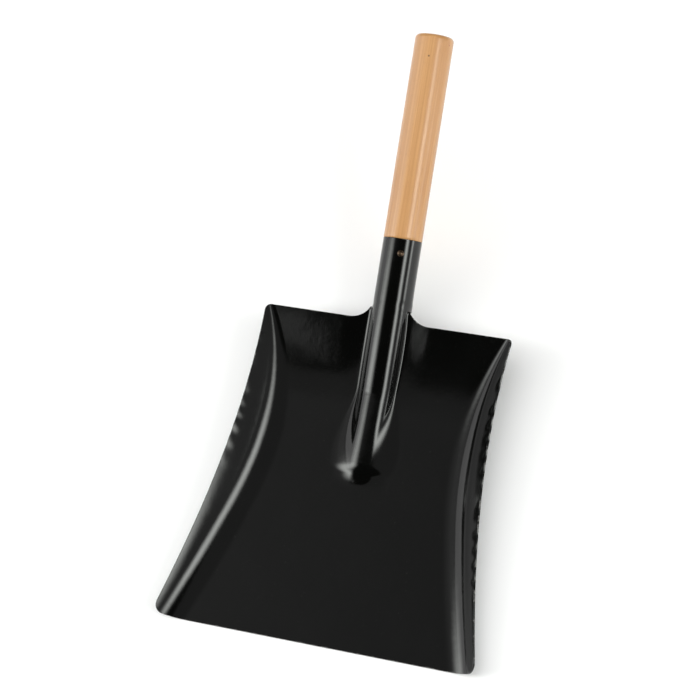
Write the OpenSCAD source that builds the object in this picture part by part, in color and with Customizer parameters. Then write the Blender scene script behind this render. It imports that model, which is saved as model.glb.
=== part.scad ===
// Hand scoop shovel: one steel pressing with a rolled socket, a turned wooden handle and a nail.
// Millimetres, +Z up. x = 0 is the mirror plane, the pan opens toward -Y, the handle rises toward +Y.
// The origin is under the middle of the whole shovel, in the plane that the flat of the pan rests on.
// The functions measure y back from the pan's front edge; the modules shift it to the origin.

/* [Pan] */
// Length of the pan, from the front edge to the rear edge
pan_l = 235.5; // [220:0.5:250]
// Half the width over the rims at the front corners
rim_front_x = 119.8; // [110:0.1:130]
// Half the width that the rims bend toward in the front half
rim_waist_x = 99.9; // [95:0.1:110]
// Half the width that the rims bend toward in the rear half
rim_narrow_x = 87.9; // [84:0.1:95]
// Half the width over the rims at the rear corners
rim_rear_x = 93.6; // [88:0.1:100]
// Height of the rims over the flat floor at the front
rim_front_h = 11.5; // [9:0.1:15]
// Height of the rims over the flat floor at the rear
rim_rear_h = 29.6; // [28:0.1:34]
// Radius of the bend between the floor and a side, in the front half
side_bend_r = 26; // [20:0.5:30]
// Radius of that bend at the rear edge
rear_bend_r = 7; // [5:0.5:15]
// Slope of the sides where they leave the bend, in degrees
side_slope = 49; // [44:1:52]
// How much the sides lean out again on the way to the rim, in degrees
side_flare = 8; // [0:1:12]
// Distance from the front edge to where the floor starts to curve up
flat_l = 90; // [80:1:110]
// Rise of the floor at the rear edge
rear_rise = 26.8; // [22:0.1:27]
// Corner radius of the sheet at the front
front_corner_r = 8; // [5:0.5:12]
// Corner radius of the sheet at the rear
rear_corner_r = 5.5; // [4:0.5:9]
// Thickness of the steel
sheet_t = 1.2; // [1:0.1:1.5]

/* [Ridge and socket] */
// Outer radius of the socket
socket_r = 14; // [13:0.1:15]
// Rise of the socket and the handle, in degrees
lift = 18.8; // [16:0.1:20]
// Height of the socket's axis over the flat floor, at the pan's rear edge
axis_h = 22.2; // [21:0.1:24]
// Distance along the axis from the pan's rear edge to the socket's mouth
socket_l = 60.7; // [50:0.1:80]
// Distance from the pan's front edge to the nose of the ridge
nose_y = 115; // [105:1:120]
// Length over which the nose rises to the ridge's front line
nose_l = 18; // [12:1:30]
// Height of the ridge's front line over the flat floor, at the nose
crest_h = 2.2; // [1.5:0.1:2.8]
// Half the width of the ridge's foot at the nose
nose_x = 22; // [16:1:22]
// Rise of the ridge's front line, in degrees
crest_rise = 14; // [13:0.1:15]
// Radius of the hollow beside the ridge at the socket
foot_r = 3.2; // [2:0.1:4]
// How far the floor dips toward the foot of the ridge at the rear edge
foot_dip = 1.2; // [0:0.1:4]
// Radius of the hollow beside the ridge at its nose
nose_foot_r = 50; // [30:1:60]
// Radius of the ridge's top at its nose
nose_crest_r = 20; // [14:1:40]
// Radius of the free edge between the rear edge and the socket
neck_r = 18; // [15:0.1:20]
// Half the width at which that radius starts
neck_x = 30.2; // [29.5:0.1:32]
// Half the angle that the open seam under the socket takes up, in degrees
seam_half_angle = 4; // [2:0.5:8]

/* [Handle and nail] */
// Radius of the handle
handle_r = 14; // [12.9:0.1:15]
// Length of the handle outside the socket
handle_l = 148; // [110:0.1:180]
// Radius on the edge of the handle's end
handle_end_r = 3; // [1:0.1:6]
// Length of the tenon inside the socket
tenon_l = 44; // [30:1:70]
// Gap between the tenon and the socket's wall
tenon_gap = 0.1; // [0.1:0.05:0.3]
// Distance along the axis from the socket's mouth to the nail
nail_back = 10.7; // [7:0.1:14]
// Angle of the nail round the socket from the top, toward +X, in degrees
nail_turn = 17.5; // [0:0.5:30]
// Radius of the nail's shank
nail_r = 1.25; // [1:0.05:1.4]
// Radius of the nail's head
nail_head_r = 2.4; // [2:0.1:3]
// Length of the nail's shank below the socket's outer face
nail_l = 14; // [8:1:18]

/* [Hidden] */
skin = sheet_t / 2;
tube_r = socket_r - skin;
mouth_y = pan_l + socket_l * cos(lift);
// The whole length, from the front edge to the furthest point of the rounded handle end
handle_far = socket_l + handle_l - handle_end_r;
overall_l = pan_l + handle_far * cos(lift) + (handle_r - handle_end_r) * sin(lift) + handle_end_r;
// The free edge leaves the foot of the ridge here, and the seam under the socket closes at seam_y
foot_end_y = pan_l + 7;
seam_y = pan_l + 36;
// The free edge stands this far off the socket beside the foot, and comes down to it over flare_l
flare_out = 1.5;
flare_l = 22;
// The foot's radius starts to grow at this distance, toward the nose
foot_grow_y = 190;
foot_grow_l = 72;
// The top's radius starts to grow at this distance, toward the nose
crest_grow_y = 165;
crest_grow_l = 50;
// The ridge's front line blends into the socket's line within this height
blend_h = 0.5;
// Below this height the ridge's foot narrows
low_top = 0.05;
// Behind the neck the section turns from the ridge's into the socket's over this length
turn_l = 8;
// The side bend tightens from this distance to the rear edge
tighten_y = 140;
// The floor starts to dip toward the ridge's foot at this distance, over this width beside the foot
dip_y = 190;
dip_l = 50;
dip_w = 18;
// Width of the middle strip beyond the ridge at the front, and where it narrows to the ridge's foot
strip_front_x = 22;
strip_rear_x = 15.6;
strip_taper_y = 200;
strip_taper_l = 60;
// How fast the floor's curve tightens toward the rear
floor_power = 2.5;
// Steps of the sheet along the pan, along the socket, across half the middle strip and across a side
pan_steps = 36;
socket_steps = 10;
strip_steps = 12;
side_steps = 12;
// Side columns crowd toward the rim, where the corners are round
rim_crowding = 1.5;
// Clearance of the holes that the nail passes
nail_hole_gap = 0.15;
pilot_gap = 0.05;
overcut = 1;
round_fn = 96;
small_fn = 32;

function smooth(v) = let (c = min(max(v, 0), 1)) c * c * (3 - 2 * c);
// The larger of two heights, rounded where they are within k of each other
function blend(a, b, k) = max(a, b) + pow(max(k - abs(a - b), 0), 2) / (4 * k);
function curve(a, b, c, d, v) =
    a * pow(1 - v, 3) + 3 * b * v * pow(1 - v, 2) + 3 * c * v * v * (1 - v) + d * pow(v, 3);

// Middle of the sheet's thickness over the floor, and of the two rims
function floor_z(y) = skin + rear_rise * pow(max(y - flat_l, 0) / (pan_l - flat_l), floor_power);
function foot_z(y) = floor_z(y) - foot_dip * smooth((y - dip_y) / dip_l);
function rim_z(y) = skin + rim_front_h + (rim_rear_h - rim_front_h) * y / pan_l;
function rim_x(y) = curve(rim_front_x, rim_waist_x, rim_narrow_x, rim_rear_x, min(y / pan_l, 1));
function axis_z(y) = sheet_t + axis_h + (y - pan_l) * tan(lift);

// The side: a bend, then a slope that leans out by side_flare on its way up to the rim. Near the rear corner
// the side is lower than the whole bend, so the bend stops early.
function bend_r(y) =
    side_bend_r - (side_bend_r - rear_bend_r) * pow(max(y - tighten_y, 0) / (pan_l - tighten_y), 1.5);
function side_h(y) = max(rim_z(y) - floor_z(y), 0.1);
function bend_h(y) =
    let (h = side_h(y), whole = bend_r(y) * (1 - cos(side_slope))) h / pow(1 + pow(h / whole, 4), 0.25);
function bend_angle(y) = acos(1 - bend_h(y) / bend_r(y));
function bend_l(y) = bend_r(y) * bend_angle(y) * PI / 180;
function chord_angle(y) = bend_angle(y) - side_flare / 2;
function slope_l(y) = (side_h(y) - bend_h(y)) / sin(chord_angle(y));
function bend_x(y) = rim_x(y) - slope_l(y) * cos(chord_angle(y)) - bend_r(y) * sin(bend_angle(y));

// The ridge: an arc of radius crest_r that meets the floor in a hollow of radius hollow_r. Heights
// here are square to the axis, and ridge_point stretches them to a vertical section.
function front_z(y) = skin + crest_h + (y - nose_y) * tan(crest_rise);
function back_z(y) = axis_z(y) + tube_r / cos(lift);
function ridge_top(y) =
    (blend(front_z(y), back_z(y), blend_h) - foot_z(y)) * cos(lift) * smooth((y - nose_y) / nose_l);
function plain_crest_r(y) = tube_r + (nose_crest_r - tube_r) * smooth((crest_grow_y - y) / crest_grow_l);
function plain_hollow_r(y) = skin + foot_r + (nose_foot_r - foot_r) * smooth((foot_grow_y - y) / foot_grow_l);
// Both radii grow where the ridge comes down to the floor, so that its foot stays about nose_x wide
function widen(y) =
    let (wide = nose_x * smooth((foot_grow_y - y) / foot_grow_l))
    let (both = wide * wide / (2 * max(ridge_top(y), low_top)))
    max(both / (plain_crest_r(y) + plain_hollow_r(y)), 1);
function crest_r(y) = plain_crest_r(y) * widen(y);
function hollow_r(y) = plain_hollow_r(y) * widen(y);
function ridge_angle(y) = acos(1 - ridge_top(y) / (crest_r(y) + hollow_r(y)));
function foot_x(y) = (crest_r(y) + hollow_r(y)) * sin(ridge_angle(y));
function strip_x(y) =
    max(foot_x(y), strip_rear_x + (strip_front_x - strip_rear_x) * smooth((strip_taper_y - y) / strip_taper_l));

// Lengths along half of the middle strip: the arc, the hollow, then the flat beside it
function arc_l(y) = crest_r(y) * ridge_angle(y) * PI / 180;
function hollow_l(y) = hollow_r(y) * ridge_angle(y) * PI / 180;
function strip_l(y) = arc_l(y) + hollow_l(y) + strip_x(y) - foot_x(y);

// A point of the ridge's section, at a length s from its top
function ridge_point(y, s) =
    s < arc_l(y) ? arc_point(y, s / crest_r(y) * 180 / PI)
    : s < arc_l(y) + hollow_l(y) ? hollow_point(y, (arc_l(y) + hollow_l(y) - s) / hollow_r(y) * 180 / PI)
    : [foot_x(y) + s - arc_l(y) - hollow_l(y), y, foot_z(y)];
function arc_point(y, a) =
    [crest_r(y) * sin(a), y, foot_z(y) + (ridge_top(y) - crest_r(y) * (1 - cos(a))) / cos(lift)];
function hollow_point(y, a) =
    [foot_x(y) - hollow_r(y) * sin(a), y, foot_z(y) + hollow_r(y) * (1 - cos(a)) / cos(lift)];

// Behind the pan the section is the arc alone, and its ends sweep under the socket to the seam
neck_angle = ridge_angle(foot_end_y);
function end_angle(y) =
    let (v = min(max(y - foot_end_y, 0) / (seam_y - foot_end_y), 1))
    neck_angle + (180 - seam_half_angle - neck_angle) * sqrt(v * (2 - v));
function flare(y, a) = flare_out * (1 - smooth((y - foot_end_y) / flare_l)) * pow(a / end_angle(y), 4);
// The rows lean over along the socket, from upright at the neck (lean 0) to square to the axis at the mouth
function socket_point(y, a, lean) =
    let (r = tube_r + flare(y, a), back_y = y - lean * r * cos(a) * sin(lift))
    [r * sin(a), back_y, axis_z(back_y) + r * cos(a) / cos(lift)];

// A point of the side, at a distance d from the rim along the sheet
function side_l(y) = slope_l(y) + bend_l(y) + bend_x(y) - strip_x(y);
function side_point(y, d) =
    d < slope_l(y) ? slope_point(y, d)
    : d < slope_l(y) + bend_l(y) ? bend_point(y, bend_angle(y) - (d - slope_l(y)) / bend_r(y) * 180 / PI)
    : flat_point(y, bend_x(y) - d + slope_l(y) + bend_l(y));
function flat_point(y, x) =
    [x, y, floor_z(y) + (foot_z(y) - floor_z(y)) * (1 - smooth((x - strip_x(y)) / dip_w))];
function bend_point(y, a) =
    [bend_x(y) + bend_r(y) * sin(a), y, floor_z(y) + bend_r(y) * (1 - cos(a))];
// The slope bulges off its chord by an arc that turns through side_flare
function slope_point(y, d) =
    let (c = chord_angle(y), bulge = side_flare * PI / 360 * d * (1 - d / slope_l(y)))
    [rim_x(y) - d * cos(c) - bulge * sin(c), y, rim_z(y) - d * sin(c) + bulge * cos(c)];

// How far a round corner or a round neck sets the sheet's edge back, at a distance d from its tangent
function set_back(r, d) = d > r ? 0 : r - sqrt(r * r - (r - d) * (r - d));
function front_y(q) = set_back(front_corner_r, side_l(0) * pow(q, rim_crowding));
function rear_y(q) = let (x = rim_rear_x - (rim_rear_x - strip_x(pan_l)) * pow(q, rim_crowding))
    pan_l - set_back(rear_corner_r, side_l(pan_l) * pow(q, rim_crowding))
    + (x < neck_x ? neck_r - sqrt(neck_r * neck_r - pow(min(neck_x - x, neck_r * 0.97), 2)) : 0);

// The sheet's grid. Column 0 is the left rim, and half_steps is the top of the ridge.
half_steps = side_steps + strip_steps;
strip_end_y = rear_y(1);
function mirror_x(p, sign) = [sign * p[0], p[1], p[2]];
function half_point(i, k) =
    i <= pan_steps ? pan_point(i / pan_steps, k) : socket_half((i - pan_steps) / socket_steps, k);
function pan_point(v, k) = k <= strip_steps
    ? let (y = v * strip_end_y) ridge_point(y, strip_l(y) * k / strip_steps)
    : let (q = (half_steps - k) / side_steps, y = front_y(q) + v * (rear_y(q) - front_y(q)))
        side_point(y, side_l(y) * pow(q, rim_crowding));
function socket_half(v, k) =
    let (y = strip_end_y + v * (mouth_y - strip_end_y), w = min((y - strip_end_y) / turn_l, 1))
    let (turned = w * (2 - w), p = socket_point(y, end_angle(y) * k / strip_steps, v))
    turned == 1 ? p : turned * p + (1 - turned) * ridge_point(y, strip_l(y) * k / strip_steps);
function middle(i, j) = j < half_steps
    ? mirror_x(half_point(i, half_steps - j), -1)
    : half_point(i, j - half_steps);

// Columns of a row, and the place of a grid point in the list of points
function first_j(i) = i > pan_steps ? side_steps : 0;
function last_j(i) = i > pan_steps ? side_steps + 2 * strip_steps : 2 * half_steps;
last_i = pan_steps + socket_steps;
pan_row = 2 * half_steps + 1;
socket_row = 2 * strip_steps + 1;
function at(i, j) = i <= pan_steps
    ? i * pan_row + j
    : (pan_steps + 1) * pan_row + (i - pan_steps - 1) * socket_row + j - side_steps;
face_points = (pan_steps + 1) * pan_row + socket_steps * socket_row;

// The upper face lies half the thickness above the middle, along the sheet's own normal
function unit(v) = v / norm(v);
function row_ends(i, j) = j < side_steps || j > side_steps + 2 * strip_steps ? pan_steps : last_i;
function normal(i, j, g) = unit(cross(
    g[i][min(j + 1, last_j(i)) - first_j(i)] - g[i][max(j - 1, first_j(i)) - first_j(i)],
    step_back(i, j, g)));
function step_back(i, j, g) =
    let (a = min(i + 1, row_ends(i, j)), b = max(i - 1, 0))
    g[a][j - first_j(a)] - g[b][j - first_j(b)];

// Two triangles for a cell of the grid, the same way round on both faces
function cell(a, b, c, d, flip) = flip ? [[a, b, c], [a, c, d]] : [[a, b, d], [b, c, d]];
function strip_cell(i, j) = cell(at(i, j), at(i + 1, j), at(i + 1, j + 1), at(i, j + 1), j < half_steps);
function wall(a, b) = [[a, b, b + face_points], [a, b + face_points, a + face_points]];

module pressing() {
    g = [for (i = [0:last_i]) [for (j = [first_j(i):last_j(i)]) middle(i, j)]];
    normals = [for (i = [0:last_i]) [for (j = [first_j(i):last_j(i)]) normal(i, j, g)]];
    upper = [for (i = [0:last_i]) for (c = [0:len(g[i]) - 1]) g[i][c] + skin * normals[i][c]];
    lower = [for (i = [0:last_i]) for (c = [0:len(g[i]) - 1]) g[i][c] - skin * normals[i][c]];
    cells = [for (i = [0:last_i - 1]) for (j = [first_j(i + 1):last_j(i + 1) - 1]) each strip_cell(i, j)];
    // The free edge, anticlockwise from the left front corner as seen from above
    edge = [
        for (j = [0:2 * half_steps - 1]) at(0, j),
        for (i = [0:pan_steps - 1]) at(i, 2 * half_steps),
        for (j = [2 * half_steps:-1:side_steps + 2 * strip_steps + 1]) at(pan_steps, j),
        for (i = [pan_steps:last_i - 1]) at(i, side_steps + 2 * strip_steps),
        for (j = [side_steps + 2 * strip_steps:-1:side_steps + 1]) at(last_i, j),
        for (i = [last_i:-1:pan_steps + 1]) at(i, side_steps),
        for (j = [side_steps:-1:1]) at(pan_steps, j),
        for (i = [pan_steps:-1:1]) at(i, 0),
    ];
    polyhedron(
        points = concat(upper, lower),
        faces = concat(
            cells,
            [for (f = cells) [f[2] + face_points, f[1] + face_points, f[0] + face_points]],
            [for (k = [0:len(edge) - 1]) each wall(edge[(k + 1) % len(edge)], edge[k])]));
}

// Puts its children on the socket's axis, with +Z along it and z = 0 at the socket's mouth
module on_axis() {
    translate([0, mouth_y - overall_l / 2, axis_z(mouth_y)])
        rotate([lift - 90, 0, 0])
            children();
}

// Puts its children where the nail is, with +Z out of the socket and z = 0 on its outer face
module at_nail() {
    on_axis()
        translate([0, 0, -nail_back])
            rotate([0, 0, nail_turn])
                rotate([90, 0, 0])
                    translate([0, 0, socket_r])
                        children();
}

module pan_and_socket() {
    color([0.03, 0.03, 0.03])
        difference() {
            translate([0, -overall_l / 2, 0])
                pressing();
            at_nail()
                translate([0, 0, -2 * sheet_t])
                    cylinder(r = nail_r + nail_hole_gap, h = 3 * sheet_t, $fn = small_fn);
        }
}

module handle() {
    end_step = 90 / 8;
    tenon_r = socket_r - sheet_t - tenon_gap;
    color([0.78, 0.58, 0.38])
        difference() {
            on_axis()
                rotate_extrude($fn = round_fn)
                    polygon([
                        [0, -tenon_l],
                        [tenon_r, -tenon_l],
                        [tenon_r, 0],
                        [handle_r, 0],
                        for (a = [0:end_step:90])
                            [handle_r - handle_end_r * (1 - cos(a)), handle_l - handle_end_r * (1 - sin(a))],
                        [0, handle_l],
                    ]);
            at_nail()
                translate([0, 0, -nail_l])
                    cylinder(r = nail_r + pilot_gap, h = nail_l + overcut, $fn = small_fn);
        }
}

module nail() {
    head_h = nail_head_r / 2;
    dome_r = (nail_head_r * nail_head_r + head_h * head_h) / (2 * head_h);
    point_l = 2 * nail_r;
    dome_step = asin(nail_head_r / dome_r) / 6;
    color([0.45, 0.33, 0.25])
        at_nail()
            rotate_extrude($fn = small_fn)
                polygon([
                    [0, pilot_gap - nail_l],
                    [nail_r, pilot_gap - nail_l + point_l],
                    [nail_r, pilot_gap],
                    [nail_head_r, pilot_gap],
                    for (k = [5:-1:1])
                        [dome_r * sin(k * dome_step), pilot_gap + head_h - dome_r * (1 - cos(k * dome_step))],
                    [0, pilot_gap + head_h],
                ]);
}

pan_and_socket();
handle();
nail();
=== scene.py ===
"""Hand scoop shovel: the looks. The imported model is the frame, and the pan is rebuilt as a finer sheet."""
import math
import bmesh
import bpy
from mathutils import Matrix, Quaternion, Vector, noise


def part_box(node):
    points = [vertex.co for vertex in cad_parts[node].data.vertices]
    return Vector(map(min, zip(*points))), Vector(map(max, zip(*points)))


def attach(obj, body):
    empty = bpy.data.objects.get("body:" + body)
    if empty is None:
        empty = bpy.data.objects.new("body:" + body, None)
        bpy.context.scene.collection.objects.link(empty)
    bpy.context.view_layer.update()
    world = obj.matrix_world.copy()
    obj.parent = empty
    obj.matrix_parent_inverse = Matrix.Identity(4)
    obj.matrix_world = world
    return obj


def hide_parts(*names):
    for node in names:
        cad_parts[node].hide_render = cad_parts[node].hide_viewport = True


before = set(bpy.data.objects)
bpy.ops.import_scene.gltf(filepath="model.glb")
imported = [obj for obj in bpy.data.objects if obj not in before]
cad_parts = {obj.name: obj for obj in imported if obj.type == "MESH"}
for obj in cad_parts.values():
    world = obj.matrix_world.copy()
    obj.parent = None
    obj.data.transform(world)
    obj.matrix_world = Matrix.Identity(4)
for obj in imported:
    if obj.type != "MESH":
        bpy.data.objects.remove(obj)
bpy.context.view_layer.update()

MM = 0.001

# ---------------------------------------------------------------- sizes of the pressing, in millimetres
PAN_L = 235.5
RIM_X = (119.8, 99.9, 87.9, 93.6)
RIM_FRONT_H, RIM_REAR_H = 11.5, 29.6
SIDE_BEND_R, REAR_BEND_R, TIGHTEN_Y = 26.0, 7.0, 140.0
SIDE_SLOPE, SIDE_FLARE = math.radians(49), math.radians(8)
FLAT_L, REAR_RISE, FLOOR_POWER = 90.0, 26.8, 2.5
FRONT_CORNER_R, REAR_CORNER_R = 8.0, 5.5
SHEET_T = 1.2
SOCKET_R, LIFT, AXIS_H, SOCKET_L = 14.0, math.radians(18.8), 22.2, 60.7
NOSE_Y, NOSE_L, CREST_H, CREST_RISE, BLEND_H = 115.0, 18.0, 2.2, math.radians(14), 0.5
NOSE_CREST_R, CREST_GROW_Y, CREST_GROW_L, TURN_L = 20.0, 165.0, 50.0, 8.0
FOOT_R, NOSE_FOOT_R, FOOT_GROW_Y, FOOT_GROW_L = 3.2, 50.0, 190.0, 72.0
FOOT_DIP, DIP_Y, DIP_L, DIP_W = 1.2, 190.0, 50.0, 18.0
NECK_R, NECK_X, NECK_REACH = 18.0, 30.2, 0.97
NOSE_X, LOW_TOP = 22.0, 0.05
SEAM_HALF = math.radians(4)
STRIP_FRONT_X, STRIP_REAR_X, STRIP_TAPER_Y, STRIP_TAPER_L = 22.0, 15.6, 200.0, 60.0
HANDLE_R, HANDLE_L, HANDLE_END_R = 14.0, 148.0, 3.0

SKIN = SHEET_T / 2
TUBE_R = SOCKET_R - SKIN
MOUTH_Y = PAN_L + SOCKET_L * math.cos(LIFT)
FOOT_END_Y, SEAM_Y, FLARE_OUT, FLARE_L = PAN_L + 7, PAN_L + 36, 1.5, 22.0

# The pan's front edge in the frame: the functions below measure y back from it
FRONT_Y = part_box("pan_and_socket")[0][1] / MM


def smooth(v):
    c = min(max(v, 0.0), 1.0)
    return c * c * (3 - 2 * c)


def floor_z(y):
    return SKIN + REAR_RISE * (max(y - FLAT_L, 0) / (PAN_L - FLAT_L)) ** FLOOR_POWER


def foot_z(y):
    return floor_z(y) - FOOT_DIP * smooth((y - DIP_Y) / DIP_L)


def rim_z(y):
    return SKIN + RIM_FRONT_H + (RIM_REAR_H - RIM_FRONT_H) * y / PAN_L


def rim_x(y):
    v = min(y / PAN_L, 1)
    a, b, c, d = RIM_X
    return a * (1 - v) ** 3 + 3 * b * v * (1 - v) ** 2 + 3 * c * v * v * (1 - v) + d * v**3


def axis_z(y):
    return SHEET_T + AXIS_H + (y - PAN_L) * math.tan(LIFT)


def blend(a, b, k):
    """The larger of a and b, rounded where they are within k of each other."""
    return max(a, b) + max(k - abs(a - b), 0) ** 2 / (4 * k)


# ---------------------------------------------------------------- the sides
class Side:
    """The section of a side at one y: flat floor, a bend, then a slope that leans out toward the rim."""

    def __init__(self, y):
        self.y = y
        height = max(rim_z(y) - floor_z(y), 0.1)
        tight = (max(y - TIGHTEN_Y, 0) / (PAN_L - TIGHTEN_Y)) ** 1.5
        self.r = SIDE_BEND_R - (SIDE_BEND_R - REAR_BEND_R) * tight
        bend_h = height / (1 + (height / (self.r * (1 - math.cos(SIDE_SLOPE)))) ** 4) ** 0.25
        self.angle = math.acos(1 - bend_h / self.r)
        self.chord = self.angle - SIDE_FLARE / 2
        self.slope_l = (height - bend_h) / math.sin(self.chord)
        self.bend_l = self.r * self.angle
        self.bend_x = rim_x(y) - self.slope_l * math.cos(self.chord) - self.r * math.sin(self.angle)
        self.strip_x = Strip(y).x
        self.length = self.slope_l + self.bend_l + self.bend_x - self.strip_x

    def point(self, d):
        """The point of the sheet's middle at a distance d from the rim."""
        if d < self.slope_l:
            bulge = SIDE_FLARE / 2 * d * (1 - d / self.slope_l)
            return (rim_x(self.y) - d * math.cos(self.chord) - bulge * math.sin(self.chord), self.y,
                    rim_z(self.y) - d * math.sin(self.chord) + bulge * math.cos(self.chord))
        if d < self.slope_l + self.bend_l:
            a = self.angle - (d - self.slope_l) / self.r
            rise = self.r * (1 - math.cos(a))
            return (self.bend_x + self.r * math.sin(a), self.y, floor_z(self.y) + rise)
        x = self.bend_x - d + self.slope_l + self.bend_l
        dip = 1 - smooth((x - self.strip_x) / DIP_W)
        return (x, self.y, floor_z(self.y) + (foot_z(self.y) - floor_z(self.y)) * dip)


# ---------------------------------------------------------------- the ridge and the socket
class Strip:
    """Half of the ridge's section at one y: an arc, a hollow beside it, then flat floor."""

    def __init__(self, y):
        self.y = y
        front_z = SKIN + CREST_H + (y - NOSE_Y) * math.tan(CREST_RISE)
        back_z = axis_z(y) + TUBE_R / math.cos(LIFT)
        line = blend(front_z, back_z, BLEND_H)
        self.top = (line - foot_z(y)) * math.cos(LIFT) * smooth((y - NOSE_Y) / NOSE_L)
        self.hollow_r = SKIN + FOOT_R + (NOSE_FOOT_R - FOOT_R) * smooth((FOOT_GROW_Y - y) / FOOT_GROW_L)
        self.crest_r = TUBE_R + (NOSE_CREST_R - TUBE_R) * smooth((CREST_GROW_Y - y) / CREST_GROW_L)
        # The foot stays about NOSE_X wide where the ridge comes down to the floor
        wide = NOSE_X * smooth((FOOT_GROW_Y - y) / FOOT_GROW_L)
        widen = max(wide**2 / (2 * max(self.top, LOW_TOP)) / (self.crest_r + self.hollow_r), 1)
        self.crest_r *= widen
        self.hollow_r *= widen
        self.angle = math.acos(1 - self.top / (self.crest_r + self.hollow_r))
        self.foot_x = (self.crest_r + self.hollow_r) * math.sin(self.angle)
        taper = smooth((STRIP_TAPER_Y - y) / STRIP_TAPER_L)
        self.x = max(self.foot_x, STRIP_REAR_X + (STRIP_FRONT_X - STRIP_REAR_X) * taper)
        self.arc_l = self.crest_r * self.angle
        self.hollow_l = self.hollow_r * self.angle
        self.length = self.arc_l + self.hollow_l + self.x - self.foot_x

    def point(self, s):
        """The point of the sheet's middle at a length s from the ridge's top."""
        base = foot_z(self.y)
        if s < self.arc_l:
            a = s / self.crest_r
            rise = (self.top - self.crest_r * (1 - math.cos(a))) / math.cos(LIFT)
            return (self.crest_r * math.sin(a), self.y, base + rise)
        if s < self.arc_l + self.hollow_l:
            a = (self.arc_l + self.hollow_l - s) / self.hollow_r
            return (self.foot_x - self.hollow_r * math.sin(a), self.y,
                    base + self.hollow_r * (1 - math.cos(a)) / math.cos(LIFT))
        return (self.foot_x + s - self.arc_l - self.hollow_l, self.y, base)


NECK_ANGLE = Strip(FOOT_END_Y).angle


def socket_point(y, part, lean):
    """The point of the socket's middle, part of the way from its top (0) to its free edge (1).
    The rows lean over from upright (0) to square to the axis (1)."""
    v = min(max(y - FOOT_END_Y, 0) / (SEAM_Y - FOOT_END_Y), 1)
    a = part * (NECK_ANGLE + (math.pi - SEAM_HALF - NECK_ANGLE) * math.sqrt(v * (2 - v)))
    r = TUBE_R + FLARE_OUT * (1 - smooth((y - FOOT_END_Y) / FLARE_L)) * part**4
    back_y = y - lean * r * math.cos(a) * math.sin(LIFT)
    return (r * math.sin(a), back_y, axis_z(back_y) + r * math.cos(a) / math.cos(LIFT))


# ---------------------------------------------------------------- the whole sheet
PAN_STEPS, SOCKET_STEPS, STRIP_STEPS, SIDE_STEPS = 190, 50, 44, 64
RIM_CROWDING = 1.25
HALF_STEPS = STRIP_STEPS + SIDE_STEPS

# The rims are rippled by the press between these distances from the front: left, then right
RIPPLE_Y = ((105.0, 222.0), (48.0, 228.0))
RIPPLE_H, RIPPLE_DEPTH, RIPPLE_L, RIPPLE_FADE = (0.24, 0.42), 4.0, 12.5, 14.0
RIPPLE_DRIFT, RIPPLE_SWELL = 31.0, 19.0
# The flats are a little wavy
WAVE_H, WAVE_SIZE = 0.10, 42.0
DENT_Y, DENT_ANGLE, DENT_H = 183.0, math.radians(-16), 0.10
DENT_L, DENT_SPREAD = 1.3, 0.42
# How far the painted edge highlight and faint wear of the socket's free edge is measured round from it, and
# the bevel on every edge
SEAM_HIGHLIGHT_AND_WEAR_L, BEVEL_W = 30, 0.3


def set_back(r, d):
    return 0 if d > r else r - math.sqrt(r * r - (r - d) ** 2)


def ripple(y, d, right):
    """How far the rim stands above its line, at a distance d down the side from it."""
    start, end = RIPPLE_Y[right]
    part = smooth((y - start) / RIPPLE_FADE) * smooth((end - y) / RIPPLE_FADE)
    drift = noise.noise(Vector((y / RIPPLE_DRIFT, 7.3 * right, 0.5)))
    swell = 0.65 + 0.5 * noise.noise(Vector((y / RIPPLE_SWELL, 3.1 + 5 * right, 1.7)))
    fold = math.sin(2 * math.pi * (y / RIPPLE_L + drift))
    return RIPPLE_H[right] * part * swell * fold * math.exp(-(d / RIPPLE_DEPTH) ** 2)


def wave(x, y):
    place = Vector((x / WAVE_SIZE, y / WAVE_SIZE, 0.3))
    return WAVE_H * (noise.noise(place) + 0.35 * noise.noise(place * 2.3))


def dent(y, angle):
    """A small crease across the left of the ridge, where its front part meets the socket's line."""
    return -DENT_H * math.exp(-((y - DENT_Y) / DENT_L) ** 2 - ((angle - DENT_ANGLE) / DENT_SPREAD) ** 2)


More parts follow.
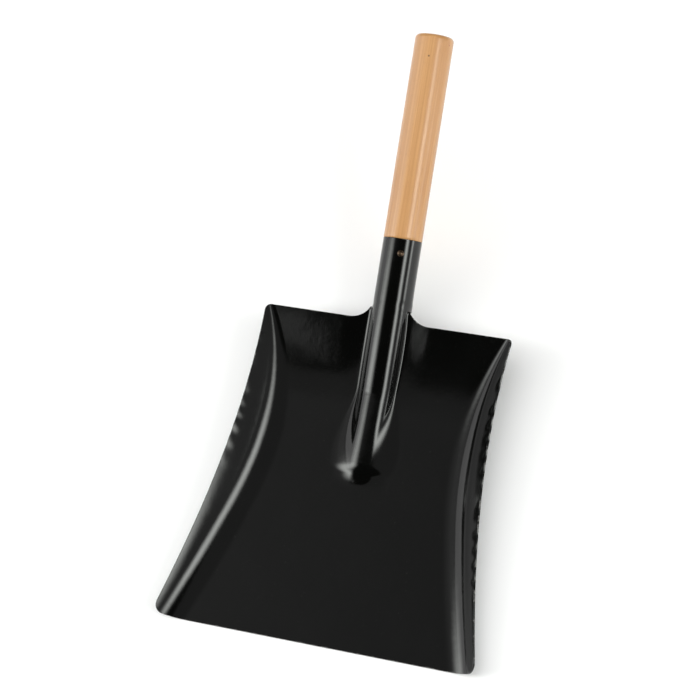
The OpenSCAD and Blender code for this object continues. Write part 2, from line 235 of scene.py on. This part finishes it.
def sheet_points():
    """{(row, column): (point in metres, distance from the free edge in mm)}: row 0 is the front edge."""
    front, rear = Side(0), Side(PAN_L)
    crowd = [((HALF_STEPS - k) / SIDE_STEPS) ** RIM_CROWDING for k in range(STRIP_STEPS, HALF_STEPS + 1)]
    front_y = [set_back(FRONT_CORNER_R, front.length * q) for q in crowd]
    rear_y = []
    for q in crowd:
        x = RIM_X[3] - (RIM_X[3] - rear.strip_x) * q
        inward = min(max(NECK_X - x, 0), NECK_R * NECK_REACH)
        neck = NECK_R - math.sqrt(NECK_R**2 - inward**2)
        rear_y.append(PAN_L - set_back(REAR_CORNER_R, rear.length * q) + neck)
    strip_end = rear_y[0]
    points = {}

    def put(i, k, x, y, z, lift, edge):
        """lift is how far the left and the right point stand above the smooth sheet."""
        for sign, h in zip((-1, 1), lift):
            points[i, HALF_STEPS + sign * k] = (Vector((sign * x, y + FRONT_Y, z + h)) * MM, edge)

    for i in range(PAN_STEPS + SOCKET_STEPS + 1):
        if i <= PAN_STEPS:
            v = i / PAN_STEPS
            strip = Strip(v * strip_end)
            y = strip.y
            for k in range(STRIP_STEPS + 1):
                s = strip.length * k / STRIP_STEPS
                x, y, z = strip.point(s)
                flat = smooth((s - strip.arc_l - strip.hollow_l) / 10) if strip.top > 0.01 else 1
                lift = [wave(sign * x, y) * flat + dent(y, sign * s / TUBE_R) for sign in (-1, 1)]
                put(i, k, x, y, z, lift, y)
            for k, (q, a, b) in list(enumerate(zip(crowd, front_y, rear_y)))[1:]:
                side = Side(a + v * (b - a))
                d = side.length * q
                x, y, z = side.point(d)
                lift = [wave(sign * x, y) + ripple(y, d, sign > 0) for sign in (-1, 1)]
                put(i, STRIP_STEPS + k, x, y, z, lift, min(d, y - a, b - y))
        else:
            v = (i - PAN_STEPS) / SOCKET_STEPS
            y = strip_end + v * (MOUTH_Y - strip_end)
            w = min((y - strip_end) / TURN_L, 1)
            turned = w * (2 - w)
            strip = Strip(y) if turned < 1 else None
            for k in range(STRIP_STEPS + 1):
                part = k / STRIP_STEPS
                place = Vector(socket_point(y, part, v))
                if strip:
                    place = Vector(strip.point(strip.length * part)).lerp(place, turned)
                put(i, k, *place, (0, 0), min(MOUTH_Y - y, SEAM_HIGHLIGHT_AND_WEAR_L * (1 - part)))
    return points


def make_pressing():
    points = sheet_points()
    mesh = bmesh.new()
    edge_layer = mesh.verts.layers.float.new("edge")
    verts = {}
    for key, (place, edge) in points.items():
        verts[key] = mesh.verts.new(place)
        verts[key][edge_layer] = edge
    for i, j in points:
        corners = [(i, j), (i, j + 1), (i + 1, j + 1), (i + 1, j)]
        if all(c in verts for c in corners):
            mesh.faces.new([verts[c] for c in corners])
    piece = new_piece("pressing", mesh)
    thick = piece.modifiers.new("thickness", "SOLIDIFY")
    thick.thickness = SHEET_T * MM
    thick.offset = 0
    edge = piece.modifiers.new("edge", "BEVEL")
    edge.width = BEVEL_W * MM
    edge.segments = 2
    edge.limit_method = "ANGLE"
    edge.angle_limit = math.radians(50)
    edge.harden_normals = True
    return piece


def new_piece(name, mesh):
    data = bpy.data.meshes.new(name)
    mesh.to_mesh(data)
    mesh.free()
    for polygon in data.polygons:
        polygon.use_smooth = True
    piece = bpy.data.objects.new(name, data)
    bpy.context.collection.objects.link(piece)
    return piece


# ---------------------------------------------------------------- the handle
AXIS_UP = Vector((0, -math.sin(LIFT), math.cos(LIFT)))
AXIS_ALONG = Vector((0, math.cos(LIFT), math.sin(LIFT)))
MOUTH = Vector((0, MOUTH_Y + FRONT_Y, axis_z(MOUTH_Y)))
TENON_L, TENON_R = 44.0, SOCKET_R - SHEET_T - 0.1
HANDLE_TURNS, HANDLE_RINGS, END_RINGS = 128, 90, 10
# Chamfers on the tenon's end and on the shoulder at the mouth, and how far the bar is off round
TENON_CUT, SHOULDER_CUT, OFF_ROUND = 0.5, 0.35, 0.0025


def handle_profile():
    """(distance along the axis from the socket's mouth, radius), from the tenon to the handle's end."""
    profile = [(-TENON_L, 0.0), (-TENON_L, TENON_R - TENON_CUT), (TENON_CUT - TENON_L, TENON_R)]
    profile += [(-0.2, TENON_R), (0.0, HANDLE_R - SHOULDER_CUT)]
    straight = HANDLE_L - HANDLE_END_R - SHOULDER_CUT
    for k in range(HANDLE_RINGS + 1):
        profile.append((SHOULDER_CUT + k / HANDLE_RINGS * straight, HANDLE_R))
    for k in range(1, END_RINGS + 1):
        a = math.pi / 2 * k / END_RINGS
        along = HANDLE_L - HANDLE_END_R * (1 - math.sin(a))
        profile.append((along, HANDLE_R - HANDLE_END_R * (1 - math.cos(a))))
    profile += [(HANDLE_L, r) for r in (8.0, 5.0, 2.0, 0.0)]
    return profile


def make_handle():
    """A turned bar. Its grain attribute holds (across, along, up) in millimetres from the mouth."""
    mesh = bmesh.new()
    layer = mesh.verts.layers.float_vector.new("grain")
    rings = []
    for along, r in handle_profile():
        ring = []
        for t in range(HANDLE_TURNS if r else 1):
            a = 2 * math.pi * t / HANDLE_TURNS
            across, up = r * math.sin(a), r * math.cos(a)
            # Turning leaves the bar a few hundredths of a millimetre off round
            uneven = 0.5 + 0.5 * noise.noise(Vector((across / 9, along / 24, up / 9)))
            shrink = 1 - OFF_ROUND * uneven if along > 0 else 1
            local = Vector((across * shrink, along, up * shrink))
            place = MOUTH + Vector((local.x, 0, 0)) + AXIS_ALONG * local.y + AXIS_UP * local.z
            vert = mesh.verts.new(place * MM)
            vert[layer] = local
            ring.append(vert)
        rings.append(ring)
    for a, b in zip(rings, rings[1:]):
        for t in range(HANDLE_TURNS):
            corners = [a[t % len(a)], b[t % len(b)], b[(t + 1) % len(b)], a[(t + 1) % len(a)]]
            mesh.faces.new(list(dict.fromkeys(corners)))
    bmesh.ops.recalc_face_normals(mesh, faces=mesh.faces)
    return new_piece("turned_handle", mesh)


# ---------------------------------------------------------------- materials
class Material:
    """A Principled material and short calls that add nodes to it."""

    def __init__(self, name):
        self.data = bpy.data.materials.new(name)
        self.data.use_nodes = True
        self.nodes, self.links = self.data.node_tree.nodes, self.data.node_tree.links
        self.nodes.clear()
        self.shader = self.nodes.new("ShaderNodeBsdfPrincipled")
        self.links.new(self.shader.outputs[0], self.nodes.new("ShaderNodeOutputMaterial").inputs[0])

    def set(self, socket, value):
        """A number, a colour or another node's output, on one of the shader's own sockets."""
        self.feed(self.shader.inputs[socket], value)

    def feed(self, socket, value):
        if isinstance(value, bpy.types.NodeSocket):
            self.links.new(value, socket)
        else:
            socket.default_value = value

    def place(self):
        return self.nodes.new("ShaderNodeTexCoord").outputs["Object"]

    def attribute(self, name, output):
        node = self.nodes.new("ShaderNodeAttribute")
        node.attribute_name = name
        return node.outputs[output]

    def scaled(self, vector, scale):
        node = self.nodes.new("ShaderNodeMapping")
        self.feed(node.inputs["Vector"], vector)
        node.inputs["Scale"].default_value = scale
        return node.outputs[0]

    def noise(self, vector, scale, detail=2.0, roughness=0.5, distortion=0.0):
        node = self.nodes.new("ShaderNodeTexNoise")
        self.feed(node.inputs["Vector"], vector)
        node.inputs["Scale"].default_value = scale
        node.inputs["Detail"].default_value = detail
        node.inputs["Roughness"].default_value = roughness
        node.inputs["Distortion"].default_value = distortion
        return node.outputs["Fac"]

    def ramp(self, value, start, end, low=0.0, high=1.0):
        """low below start, high above end, smooth between."""
        node = self.nodes.new("ShaderNodeMapRange")
        node.interpolation_type = "SMOOTHSTEP"
        self.feed(node.inputs["Value"], value)
        for name, number in (("From Min", start), ("From Max", end), ("To Min", low), ("To Max", high)):
            node.inputs[name].default_value = number
        return node.outputs["Result"]

    def math(self, operation, a, b=0.0):
        node = self.nodes.new("ShaderNodeMath")
        node.operation = operation
        self.feed(node.inputs[0], a)
        self.feed(node.inputs[1], b)
        return node.outputs[0]

    def near(self, vector, point, radius):
        """1 at the point, falling to 0 at radius."""
        node = self.nodes.new("ShaderNodeVectorMath")
        node.operation = "DISTANCE"
        self.feed(node.inputs[0], vector)
        node.inputs[1].default_value = point
        return self.ramp(node.outputs["Value"], radius * 0.35, radius, 1.0, 0.0)

    def mix(self, part, a, b):
        node = self.nodes.new("ShaderNodeMix")
        node.data_type = "RGBA"
        self.feed(node.inputs["Factor"], part)
        for socket, colour in ((node.inputs[6], a), (node.inputs[7], b)):
            self.feed(socket, colour if isinstance(colour, bpy.types.NodeSocket) else (*colour, 1))
        return node.outputs[2]

    def bump(self, height, depth, under=None):
        """depth is in metres, for a height that goes from 0 to 1."""
        node = self.nodes.new("ShaderNodeBump")
        node.inputs["Distance"].default_value = depth
        self.feed(node.inputs["Height"], height)
        if under is not None:
            self.feed(node.inputs["Normal"], under)
        return node.outputs[0]


def paint_material():
    """Gloss black stoving paint: a soft orange peel, a few dust specks, and paler patches on the free edges
    that are a painted edge highlight with faint wear.
    """
    m = Material("gloss_black_paint")
    place = m.place()
    cloud = m.noise(place, 26.0, 3.0)
    fine = m.noise(place, 900.0, 2.0)
    edge = m.attribute("edge", "Fac")
    # Paler patches near the free edges: a painted edge highlight, with a little wear of the paint
    patch = m.ramp(m.noise(place, 210.0, 4.0, 0.6), 0.53, 0.66)
    edge_highlight_and_wear = m.math("MULTIPLY", m.ramp(edge, 0.1, 0.75, 1.0, 0.0), patch)
    speck = m.ramp(m.noise(place, 620.0, 1.0), 0.765, 0.80)
    base = m.mix(cloud, (0.0008, 0.0009, 0.0007), (0.0018, 0.0019, 0.0017))
    base = m.mix(speck, base, (0.012, 0.012, 0.011))
    # The pale grey on the free edges is painted highlight along the rims, partly faint wear
    m.set("Base Color", m.mix(edge_highlight_and_wear, base, (0.10, 0.098, 0.092)))
    rough = m.math("ADD", m.ramp(cloud, 0.3, 0.7, 0.085, 0.12), m.ramp(fine, 0.45, 0.7, 0.0, 0.03))
    m.set("Roughness", m.math("ADD", rough, m.math("MULTIPLY", edge_highlight_and_wear, 0.25)))
    peel = m.bump(m.noise(place, 150.0, 2.0, 0.45), 0.000035)
    m.set("Normal", m.bump(fine, 0.0000035, peel))
    return m.data


# Places in the grain attribute: across, along from the socket's mouth, and up, in millimetres
KNOT, SPECK = (2.1, 131.6, 13.8), (13.2, 141.8, 4.6)


def wood_material():
    """Lightly varnished beech: rings along the bar, short dark flecks, a pin knot and a reddish speck."""
    m = Material("beech")
    grain = m.attribute("grain", "Vector")
    drift = m.noise(m.scaled(grain, (0.05, 0.008, 0.05)), 1.0, 2.0)
    rings = m.noise(m.scaled(grain, (0.42, 0.0035, 0.30)), 1.0, 3.0, 0.55, 0.35)
    lines = m.noise(m.scaled(grain, (2.4, 0.022, 2.4)), 1.0, 3.0, 0.6)
    fleck = m.ramp(m.noise(m.scaled(grain, (2.6, 0.36, 2.6)), 1.0, 1.0), 0.64, 0.74)
    cross = m.ramp(m.noise(m.scaled(grain, (0.03, 0.16, 0.03)), 1.0, 2.0), 0.35, 0.65)
    colour = m.mix(m.ramp(rings, 0.34, 0.66), (0.565, 0.290, 0.098), (0.440, 0.200, 0.056))
    colour = m.mix(m.math("MULTIPLY", m.ramp(lines, 0.40, 0.72), 0.45), colour, (0.385, 0.172, 0.052))
    colour = m.mix(m.math("MULTIPLY", m.ramp(drift, 0.35, 0.65), 0.30), colour, (0.590, 0.325, 0.140))
    colour = m.mix(m.math("MULTIPLY", cross, 0.10), colour, (0.480, 0.225, 0.085))
    colour = m.mix(m.math("MULTIPLY", fleck, 0.30), colour, (0.300, 0.130, 0.045))
    colour = m.mix(m.math("MULTIPLY", m.near(grain, KNOT, 0.95), 0.85), colour, (0.060, 0.028, 0.016))
    colour = m.mix(m.math("MULTIPLY", m.near(grain, SPECK, 0.8), 0.7), colour, (0.330, 0.060, 0.030))
    m.set("Base Color", colour)
    m.set("Roughness", m.ramp(lines, 0.3, 0.7, 0.40, 0.50))
    m.set("Coat Weight", 0.8)
    m.set("Coat Roughness", 0.26)
    m.set("Normal", m.bump(m.math("ADD", lines, m.math("MULTIPLY", fleck, -0.6)), 0.00006))
    return m.data


def nail_material():
    """Bronzed steel, darker in its hollows, with hammer marks on the head."""
    m = Material("bronzed_nail")
    place = m.place()
    stain = m.noise(place, 700.0, 3.0)
    m.set("Base Color", m.mix(m.ramp(stain, 0.35, 0.65), (0.045, 0.030, 0.020), (0.16, 0.105, 0.068)))
    m.set("Metallic", 0.85)
    m.set("Roughness", m.ramp(stain, 0.3, 0.7, 0.42, 0.28))
    m.set("Normal", m.bump(m.noise(place, 480.0, 2.0), 0.00018))
    return m.data


def floor_material():
    """A pale, matt floor."""
    m = Material("floor")
    place = m.place()
    m.set("Base Color", m.mix(m.noise(place, 3.0, 2.0), (0.93, 0.93, 0.93), (0.955, 0.955, 0.955)))
    m.set("Roughness", 0.9)
    m.set("Normal", m.bump(m.noise(place, 900.0, 2.0), 0.00004))
    return m.data


# ---------------------------------------------------------------- stage
CAMERA_PLACE = Vector((0.5357, -0.5513, 1.5473))
CAMERA_SWING, CAMERA_TILT, CAMERA_ROLL = math.radians(20.16), math.radians(18.52), math.radians(-15.41)
CAMERA_LENS = 122.9
FLOOR_SIZE, FLOOR_Z = 12, -0.0004
WORLD_LIGHT = 0.015


def make_camera():
    data = bpy.data.cameras.new("camera")
    data.lens = CAMERA_LENS
    data.sensor_width = 36
    camera = bpy.data.objects.new("camera", data)
    bpy.context.collection.objects.link(camera)
    back = Vector((math.sin(CAMERA_SWING) * math.cos(CAMERA_TILT), -math.sin(CAMERA_TILT),
                   math.cos(CAMERA_SWING) * math.cos(CAMERA_TILT)))
    right = Vector((math.cos(CAMERA_SWING), 0, -math.sin(CAMERA_SWING)))
    up = back.cross(right)
    turn = Matrix.Rotation(CAMERA_ROLL, 4, "Z").transposed()
    axes = Matrix((right, up, back)).transposed().to_4x4()
    camera.matrix_world = Matrix.Translation(CAMERA_PLACE) @ axes @ turn
    bpy.context.scene.camera = camera


def add_light(name, place, target, size, radiance, soft=(0.0, 0.0), colour=(1, 1, 1), turn=0.0):
    """A soft box that aims at target. radiance is what its middle shows in a mirror, where 1 is white.
    soft is the part of its width and of its height over which it fades at each side, and turn rolls it,
    in degrees."""
    data = bpy.data.lights.new(name, "AREA")
    data.shape = "RECTANGLE"
    data.size, data.size_y = size
    data.energy = radiance * math.pi * size[0] * size[1]
    data.color = colour
    light = bpy.data.objects.new(name, data)
    bpy.context.collection.objects.link(light)
    light.location = place
    aim = (Vector(target) - Vector(place)).to_track_quat("-Z", "Y")
    light.rotation_euler = (aim @ Quaternion((0, 0, 1), math.radians(turn))).to_euler()
    light.visible_camera = False
    if any(soft):
        fade(data, soft)
    return light


def fade(data, soft):
    """Dims an area light smoothly toward its edges."""
    data.use_nodes = True
    nodes, links = data.node_tree.nodes, data.node_tree.links
    parts = nodes.new("ShaderNodeSeparateXYZ")
    links.new(nodes.new("ShaderNodeNewGeometry").outputs["Parametric"], parts.inputs[0])
    product = nodes.new("ShaderNodeMath")
    product.operation = "MULTIPLY"
    for axis in (0, 1):
        fold = nodes.new("ShaderNodeMath")
        fold.operation = "PINGPONG"
        fold.inputs[1].default_value = 0.5
        links.new(parts.outputs[axis], fold.inputs[0])
        step = nodes.new("ShaderNodeMapRange")
        step.interpolation_type = "SMOOTHSTEP"
        step.inputs["From Max"].default_value = max(soft[axis], 0.001)
        links.new(fold.outputs[0], step.inputs["Value"])
        links.new(step.outputs["Result"], product.inputs[axis])
    emission = next(n for n in nodes if n.type == "EMISSION")
    links.new(product.outputs[0], emission.inputs["Strength"])


def make_stage():
    bpy.ops.mesh.primitive_plane_add(size=FLOOR_SIZE, location=(0, 0, FLOOR_Z))
    floor = bpy.context.object
    floor.name = "floor"
    floor.data.materials.append(floor_material())
    world = bpy.data.worlds.new("world")
    world.use_nodes = True
    background = world.node_tree.nodes["Background"]
    background.inputs["Color"].default_value = (1, 1, 1, 1)
    background.inputs["Strength"].default_value = WORLD_LIGHT
    bpy.context.scene.world = world
    bpy.context.scene.view_settings.view_transform = "Standard"
    make_lights()


def make_lights():
    """Each row: name, place, target, size, radiance, how soft its edges are, colour and turn."""
    white, cool = (1, 1, 1), (0.97, 1.0, 0.96)
    for row in (
            # A dim ceiling behind the camera, brighter on the left
            ("ceiling", (0.2, 1.10, 2.4), (0.2, 1.10, 0), (4.4, 3.2), 0.215, (0.1, 0.035), white, 6),
            ("ceiling_left", (-2.3, 1.1, 2.38), (-2.3, 1.1, 0), (3.6, 3.2), 0.17, (0.3, 0.035), white, 6),
            ("corner_left", (-1.9, 0.2, 1.7), (0, 0, 0.1), (1.3, 1.6), 0.34, (0.3, 0.3), white, 0),
            # A tall box on the left with a dimmer wall behind it
            ("left", (-1.15, -0.42, 0.92), (0, -0.05, 0.02), (0.95, 1.6), 7.4, (0.45, 0.5), cool, -8),
            ("wall_left", (-1.75, 0.0, 0.55), (0, 0.0, 0.4), (2.0, 1.1), 1.3, (0.2, 0.12), white, 0),
            # A slanted box and a low one on the right, with a dim wall behind them
            ("right", (1.12, -0.21, 0.96), (0, -0.08, 0.02), (1.2, 0.74), 8.0, (0.35, 0.5), cool, 27),
            ("low_right", (1.5, 0.12, 0.22), (0, 0.02, 0.10), (0.66, 0.58), 6.5, (0.5, 0.5), cool, 0),
            ("wall_right", (2.2, 0.0, 1.1), (0, 0, 0.3), (2.4, 1.8), 0.35, (0.2, 0.2), white, 0),
            # Two thin poles of light aimed at the rear left of the pan, where the paint blurs them
            ("pole_1", (-0.599, -0.545, 1.307), (-0.073, 0.004, 0.023), (0.018, 0.24), 1.5, (0.5, 0.3),
             white, 32),
            ("pole_2", (-0.573, -0.520, 1.325), (-0.060, 0.001, 0.022), (0.020, 0.36), 1.5, (0.5, 0.3),
             white, 32)):
        add_light(*row)
    # Light that gloss doesn't show, from above and on both sides
    for name, place, size, radiance in (
            ("fill", (0, -0.2, 3.0), (4.0, 4.0), 1.30),
            ("fill_left", (-2.4, -0.4, 1.0), (2.0, 1.6), 1.9),
            ("fill_right", (2.4, -0.4, 1.0), (2.0, 1.6), 2.2)):
        add_light(name, place, (0, -0.05, 0), size, radiance).visible_glossy = False


def main():
    pressing, handle = make_pressing(), make_handle()
    for piece, node, slot, material in (
            (pressing, "pan_and_socket", "painted_steel", paint_material()),
            (handle, "handle", "wood", wood_material())):
        piece.data.materials.append(material)
        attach(piece, "root")
        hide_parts(node)
    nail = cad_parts["nail"]
    nail.data.materials.clear()
    nail.data.materials.append(nail_material())
    make_camera()
    make_stage()


main()
